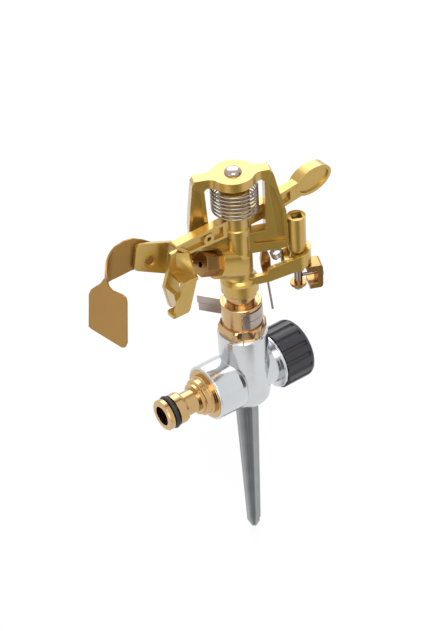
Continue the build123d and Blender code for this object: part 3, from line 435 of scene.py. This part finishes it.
def new_piece(name, shape, material, body, node=None):
    """A plain mesh from millimetre points that rides a body, and may take a CAD piece's place."""
    points, faces = shape
    mesh = bpy.data.meshes.new(name)
    mesh.from_pydata([[c * MM for c in point] for point in points], [], faces)
    mesh.materials.append(material)
    skin = bmesh.new()
    skin.from_mesh(mesh)
    bmesh.ops.remove_doubles(skin, verts=skin.verts, dist=0.001 * MM)
    bmesh.ops.recalc_face_normals(skin, faces=skin.faces)
    skin.to_mesh(mesh)
    skin.free()
    mesh.shade_smooth()
    mesh.set_sharp_from_angle(angle=radians(32))
    piece = add_object(name, mesh)
    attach(piece, body)
    if node:
        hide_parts(node)
    return piece


def turned(profile, place=None, steps=72, flats=0.0, turn=0.0):
    """Points and faces of rings turned about the upright axis, or about local Z of a place."""
    points, faces, count = [], [], len(profile)
    spans = count if profile[0][0] > 0 else count - 1
    for k in range(steps):
        angle = 2 * pi * k / steps
        side = (angle % (pi / 3)) - pi / 6
        for radius, height, *hexagon in profile:
            reach = min(radius, flats / 2 / cos(side)) if hexagon else radius
            point = Vector((reach * cos(angle + turn), reach * sin(angle + turn), height))
            points.append(place @ point if place else point)
    for k in range(steps):
        a, b = k * count, (k + 1) % steps * count
        for j in range(spans):
            faces.append((a + j, a + (j + 1) % count, b + (j + 1) % count, b + j))
    return points, faces


def plate_faces(start, count):
    """Faces of a plate whose two like outlines of count points follow each other from start."""
    faces = [tuple(range(start, start + count)),
             tuple(range(start + 2 * count - 1, start + count - 1, -1))]
    faces.extend((start + j, start + (j + 1) % count,
                  start + count + (j + 1) % count, start + count + j) for j in range(count))
    return faces


def sheet(stations, thickness):
    """Points and faces of a strip of sheet; a station is (middle, normal, upright, low, high)."""
    points, faces = [], []
    rows = SHEET_ROWS
    for middle, normal, upright, low, high in stations:
        for side in (-0.5, 0.5):
            for j in range(rows):
                height = low + (high - low) * j / (rows - 1)
                points.append(middle + normal * (side * thickness) + upright * height)
    wide = 2 * rows
    last = (len(stations) - 1) * wide
    for a in range(0, last, wide):
        b = a + wide
        for j in range(rows - 1):
            faces.append((a + j, b + j, b + j + 1, a + j + 1))
            faces.append((a + rows + j, a + rows + j + 1, b + rows + j + 1, b + rows + j))
        faces.append((a, a + rows, b + rows, b))
        faces.append((a + rows - 1, b + rows - 1, b + wide - 1, a + wide - 1))
    for end in (0, last):
        faces.extend((end + j, end + j + 1, end + rows + j + 1, end + rows + j)
                     for j in range(rows - 1))
    return points, faces


def height_at(outline, run):
    """Height of an open outline of (run, height) points at one run."""
    for (x0, y0), (x1, y1) in zip(outline, outline[1:]):
        if run <= x1:
            return y0 + (y1 - y0) * max(0.0, run - x0) / (x1 - x0)
    return outline[-1][1]


def crown_shape(top):
    """The bridge's bar and round boss in one plate, with fillets where the bar meets the boss."""
    reach, width = CROWN_R + CROWN_FILLET, CROWN_HALF + CROWN_FILLET
    centre = (reach ** 2 - width ** 2) ** 0.5
    lean = asin(width / reach)
    bends = [-pi / 2 - (pi / 2 - lean) * k / 6 for k in range(7)]
    curve = [(centre + CROWN_FILLET * cos(t), width + CROWN_FILLET * sin(t)) for t in bends]
    rounds = [lean + (pi / 2 - lean) * k / 12 for k in range(1, 13)]
    curve += [(CROWN_R * cos(t), CROWN_R * sin(t)) for t in rounds]
    upper = [(CROWN_ENDS[1], CROWN_HALF), *curve, *((-u, n) for u, n in reversed(curve[:-1])),
             (CROWN_ENDS[0], CROWN_HALF)]
    plan = upper + [(u, -n) for u, n in reversed(upper)]
    along = Vector((cos(BRIDGE_TURN), sin(BRIDGE_TURN), 0))
    across = Vector((-sin(BRIDGE_TURN), cos(BRIDGE_TURN), 0))
    points = [along * u + across * n + Vector((0, 0, z))
              for z in (CROWN_BOTTOM, top + CROWN_PROUD) for u, n in plan]
    return points, plate_faces(0, len(plan))


def flap_frame(run):
    """Middle point and directions (onward, normal, upright) of the flap's strip at one run."""
    along = Vector((cos(FLAP_LEAN), 0, -sin(FLAP_LEAN)))
    upright = Vector((sin(FLAP_LEAN), 0, cos(FLAP_LEAN)))
    across = Vector((0, 1, 0))
    bent = min(max(run - FLAP_RUN, 0.0) / FLAP_BEND, FLAP_TURN)
    a = -min(run, FLAP_RUN) - FLAP_BEND * sin(bent)
    b = FLAP_T / 2 - FLAP_BEND * (1 - cos(bent))
    middle = FLAP_AT + along * a + across * b
    normal = across * cos(bent) - along * sin(bent)
    onward = -along * cos(bent) - across * sin(bent)
    return middle, onward, normal, upright


def flap_shape():
    """Points and faces of the flap's strip and its paddle."""
    stations = []
    end = FLAP_RUN + FLAP_BEND * FLAP_TURN
    for k in range(FLAP_STEPS + 1):
        run = FLAP_START + (end - FLAP_START) * k / FLAP_STEPS
        middle, _, normal, upright = flap_frame(run)
        low, high = height_at(BAND_LOW, run), height_at(BAND_TOP, run)
        stations.append((middle, normal, upright, low, high))
    points, faces = sheet(stations, FLAP_T)
    middle, onward, normal, upright = flap_frame(end)
    faces += plate_faces(len(points), len(PADDLE))
    for side in (-0.5, 0.5):
        points.extend(middle + onward * s + upright * h + normal * (side * FLAP_T)
                      for s, h in PADDLE)
    return points, faces


def nozzle_place():
    """The nozzle's own frame: its hexagon's corners point across, and it looks up to the left."""
    level, rise = cos(NOZZLE_RISE), sin(NOZZLE_RISE)
    place = Matrix(((0, -rise, -level), (1, 0, 0), (0, -level, rise))).to_4x4()
    place.translation = (0, 0, NOZZLE_FOOT)
    return place


class SPRINKLER_OT_shapes(Operator):
    """Shape the flap, hexagon, nozzle, spring drum, bridge top and pin as the picture shows them"""

    bl_idname = "sprinkler.shapes"
    bl_label = "Shaped Pieces"

    def execute(self, context):
        new_piece("bent_flap", flap_shape(), flap_sheet(), "flap",
                  "deflector_flap")
        sleeve = turned(SLEEVE, flats=SLEEVE_FLATS, turn=SLEEVE_TURN)
        new_piece("hexagon_sleeve", sleeve, upright_brass(), "base", "bearing_sleeve")
        new_piece("spring_drum", turned(DRUM), gold_paint(), "arm")
        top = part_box("sprinkler_body")[1][2] / MM
        new_piece("bridge_crown", crown_shape(top), gold_paint(), "head")
        pin = PIN_SHANK + ((PIN_R, top),) + tuple((r, top + z) for r, z in PIN_HEAD)
        new_piece("domed_pin", turned(pin), strip_steel(), "head", "fulcrum_pin")
        nozzle = turned(NOZZLE, nozzle_place(), flats=NOZZLE_FLATS)
        new_piece("hexagon_nozzle", nozzle, brown_brass(), "head", "nozzle")
        return {"FINISHED"}


class SPRINKLER_OT_springs(Operator):
    """Wind the hammer arm's coil spring"""

    bl_idname = "sprinkler.springs"
    bl_label = "Springs"

    def execute(self, context):
        sizes = context.scene.sprinkler_spring
        low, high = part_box("arm_spring")
        height = high[2] - low[2] - 2 * sizes.wire
        place = Matrix.Translation((0, 0, low[2] + sizes.wire))
        piece = wind_coil("arm_coil", sizes.radius, sizes.wire, height, sizes.turns,
                          spring_wire(), place)
        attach(piece, "head")
        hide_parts("arm_spring")
        return {"FINISHED"}


# Finishes of the CAD pieces

class SPRINKLER_OT_castings(Operator):
    """Paint the head and the hammer arm, and finish the bare castings"""

    bl_idname = "sprinkler.castings"
    bl_label = "Castings"

    def execute(self, context):
        dress(gold_paint(), "sprinkler_body", "hammer_arm")
        dress(bare_zinc(), "tee_body")
        dress(dull_spike(), "ground_spike")
        return {"FINISHED"}


class SPRINKLER_OT_turned(Operator):
    """Finish the turned brass and the small steel pieces"""

    bl_idname = "sprinkler.turned"
    bl_label = "Turned and Steel Pieces"

    def execute(self, context):
        dress(machined_brass(), "inlet_connector")
        dress(upright_brass(), "swivel_tube", "arm_bushing")
        dress(brown_brass(), "trip_shackle", "trip_lever", "trip_washer", "deflector_screw")
        dress(strip_steel(), "friction_collar_lower", "friction_collar_upper", "trip_shaft",
              "shackle_pin")
        dress(spring_wire(), "trip_wire", "bearing_spring", "trip_spring")
        return {"FINISHED"}


class SPRINKLER_OT_soft(Operator):
    """Finish the plastic cap and the rubber and fibre washers"""

    bl_idname = "sprinkler.soft"
    bl_label = "Cap and Seals"

    def execute(self, context):
        dress(moulded_cap(), "outlet_cap")
        dress(nitrile_rubber(), "inlet_o_ring", "inlet_washer", "cap_washer")
        dress(fibre_washer(), "bearing_washers", "arm_washer")
        return {"FINISHED"}


# Stage

def camera_place():
    """The camera's matrix, from its angles and the pixel at which it sees the anchor."""
    back = Vector((sin(AZIMUTH) * cos(ELEVATION), -cos(AZIMUTH) * cos(ELEVATION), sin(ELEVATION)))
    level = Vector((cos(AZIMUTH), sin(AZIMUTH), 0.0))
    upright = back.cross(level)
    right = level * cos(ROLL) - upright * sin(ROLL)
    up = upright * cos(ROLL) + level * sin(ROLL)
    focal = FITTED_LENS / SENSOR * max(PICTURE)
    across, down = ((ANCHOR_PIXEL[i] - PICTURE[i] / 2) / focal * DISTANCE for i in (0, 1))
    at = Vector(ANCHOR) - (across * right - down * up - DISTANCE * back)
    place = Matrix((right, up, back)).transposed().to_4x4()
    place.translation = at
    return place


def aimed(at, direction):
    """The matrix at one point whose local Z looks along a direction."""
    return Matrix.Translation(at) @ direction.to_track_quat("Z", "Y").to_matrix().to_4x4()


def lamp(name, power, size, at, target):
    """A square soft lamp facing a point."""
    light = bpy.data.lights.new(name, "AREA")
    light.energy = power
    light.size = size
    add_object(name, light).matrix_world = aimed(at, Vector(at) - Vector(target))


def flat(name, half_width, half_height, place):
    """A single upward rectangle, moved to its place."""
    mesh = bpy.data.meshes.new(name)
    w, h = half_width, half_height
    mesh.from_pydata([(-w, -h, 0), (w, -h, 0), (w, h, 0), (-w, h, 0)], [], [(0, 1, 2, 3)])
    mesh.transform(place)
    return add_object(name, mesh)


def card(name, size, at, target, shade):
    """A flat card outside the picture that only the reflections see."""
    place = aimed(at, Vector(target) - Vector(at))
    piece = flat(name, size[0] / 2, size[1] / 2, place)
    material, _, shader = new_material(name + "_Card")
    shader.inputs["Base Color"].default_value = srgb(shade)
    shader.inputs["Roughness"].default_value = 0.9
    piece.data.materials.append(material)
    piece.visible_camera = False
    piece.visible_diffuse = False
    piece.visible_shadow = False


def pale_floor():
    """Plain white floor that keeps a faint shadow under the object."""
    material, tree, shader = new_material("Pale_Floor")
    shader.inputs["Base Color"].default_value = srgb("#F4F4F4")
    shader.inputs["Roughness"].default_value = 0.9
    seen, _ = seen_directly(tree)
    part = add_node(tree, "ShaderNodeMath", {"operation": "MULTIPLY"}, {0: seen})
    part.inputs[1].default_value = FLOOR_GLOW
    glow = add_node(tree, "ShaderNodeEmission", None, None, Strength=1.0, Color=(1, 1, 1, 1))
    both = add_node(tree, "ShaderNodeMixShader", None, {
        0: part.outputs[0], 1: shader.outputs["BSDF"], 2: glow.outputs["Emission"]})
    output = next(n for n in tree.nodes if n.type == "OUTPUT_MATERIAL")
    tree.links.new(both.outputs["Shader"], output.inputs["Surface"])
    return material


def white_world(strength):
    """White where the camera or a reflection looks, and a plain grey-white light elsewhere."""
    world = bpy.data.worlds.new("White_World")
    world.use_nodes = True
    tree = world.node_tree
    tree.nodes.clear()
    seen, rays = seen_directly(tree)
    clear = add_node(tree, "ShaderNodeMath", {"operation": "MAXIMUM"},
                     {0: seen, 1: rays.outputs["Is Transmission Ray"]})
    level = add_node(tree, "ShaderNodeMapRange", None, {"Value": clear.outputs[0]},
                     To_Min=strength, To_Max=1.0)
    sky = add_node(tree, "ShaderNodeBackground", None, {"Strength": level.outputs["Result"]},
                   Color=(1, 1, 1, 1))
    out = tree.nodes.new("ShaderNodeOutputWorld")
    tree.links.new(sky.outputs["Background"], out.inputs["Surface"])
    bpy.context.scene.world = world


class SPRINKLER_OT_stage(Operator):
    """Set the camera, the floor, the lamps and the cards of the picture"""

    bl_idname = "sprinkler.stage"
    bl_label = "Stage"

    def execute(self, context):
        look = context.scene.sprinkler_stage
        camera = add_object("Camera", bpy.data.cameras.new("Camera"))
        camera.data.lens = look.lens
        camera.data.sensor_width = SENSOR
        camera.data.clip_start = 0.05
        camera.data.clip_end = 20.0
        camera.matrix_world = camera_place()
        context.scene.camera = camera
        context.scene.view_settings.view_transform = "Standard"

        ground = flat("floor", FLOOR_HALF, FLOOR_HALF,
                      Matrix.Translation((0, 0, CAD_BOX[0][2] - FLOOR_GAP)))
        ground.data.materials.append(pale_floor())
        for name, setting, size, at, target in LAMPS:
            lamp(name, getattr(look, setting), size, at, target)
        for name, size, at, target, shade in CARDS:
            card(name, size, at, target, shade)
        white_world(look.world)
        return {"FINISHED"}


class SPRINKLER_PT_panel(Panel):
    """Colours, sizes and steps of the sprinkler"""

    bl_idname = "SPRINKLER_PT_panel"
    bl_label = "Impulse Sprinkler"
    bl_space_type = "VIEW_3D"
    bl_region_type = "UI"
    bl_category = "Sprinkler"

    def draw(self, context):
        for group in GROUPS:
            box = self.layout.box()
            settings = getattr(context.scene, group)
            for name in settings.__annotations__:
                box.prop(settings, name)
        for step in STEPS:
            self.layout.operator(step.bl_idname)


GROUPS = {
    "sprinkler_castings": CastingLook,
    "sprinkler_turned": TurnedLook,
    "sprinkler_spring": SpringSizes,
    "sprinkler_stage": StageLook,
}
STEPS = (
    SPRINKLER_OT_stage,
    SPRINKLER_OT_castings,
    SPRINKLER_OT_turned,
    SPRINKLER_OT_soft,
    SPRINKLER_OT_springs,
    SPRINKLER_OT_shapes,
)


def register():
    for cls in (*GROUPS.values(), *STEPS, SPRINKLER_PT_panel):
        bpy.utils.register_class(cls)
    for name, group in GROUPS.items():
        setattr(bpy.types.Scene, name, PointerProperty(type=group))


def unregister():
    for name in GROUPS:
        delattr(bpy.types.Scene, name)
    for cls in reversed((*GROUPS.values(), *STEPS, SPRINKLER_PT_panel)):
        bpy.utils.unregister_class(cls)


def main():
    register()
    bpy.ops.sprinkler.stage()
    bpy.ops.sprinkler.castings()
    bpy.ops.sprinkler.turned()
    bpy.ops.sprinkler.soft()
    bpy.ops.sprinkler.springs()
    bpy.ops.sprinkler.shapes()


if __name__ == "__main__":
    main()
